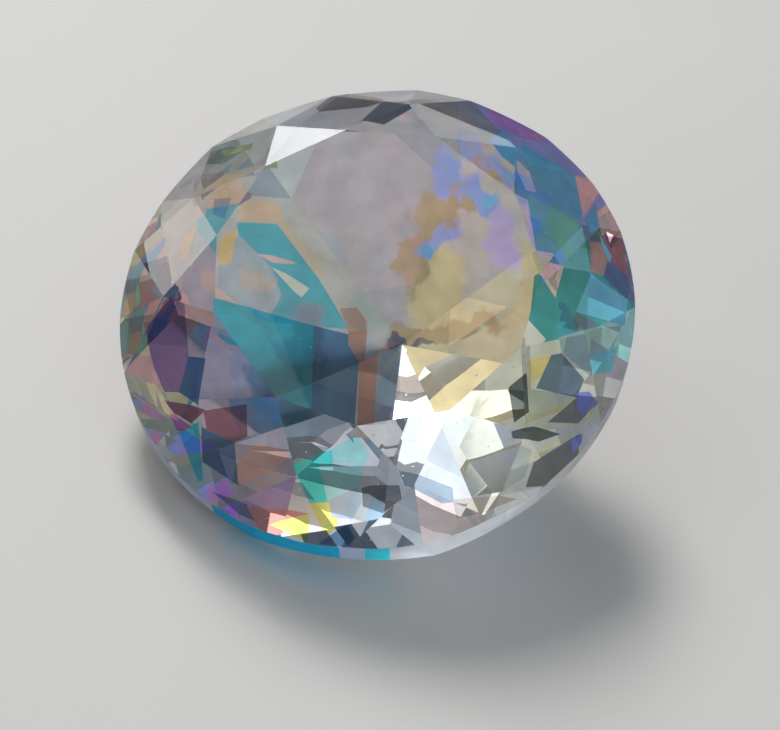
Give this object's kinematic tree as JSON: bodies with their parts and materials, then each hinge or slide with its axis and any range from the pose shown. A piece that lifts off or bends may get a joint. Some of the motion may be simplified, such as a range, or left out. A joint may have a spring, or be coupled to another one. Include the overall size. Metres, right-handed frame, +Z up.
{
  "type": "faceted gemstone",
  "caption": "Round faceted clear gemstone with a rainbow coating, a wide flat table and a pointed underside, lying tilted on one lower facet.",
  "frame": {"origin": "middle of the stone's footprint box, on the ground, inside the facet that it rests on", "axes": "+Z up; the flat table leans down towards -Y and a little towards -X"},
  "size_m": [0.04, 0.0368, 0.0235],
  "materials": {
    "coated_quartz": "polished, with a thin rainbow coating"
  },
  "bodies": {
    "root": {"gemstone": "coated_quartz"}
  },
  "joints": []
}
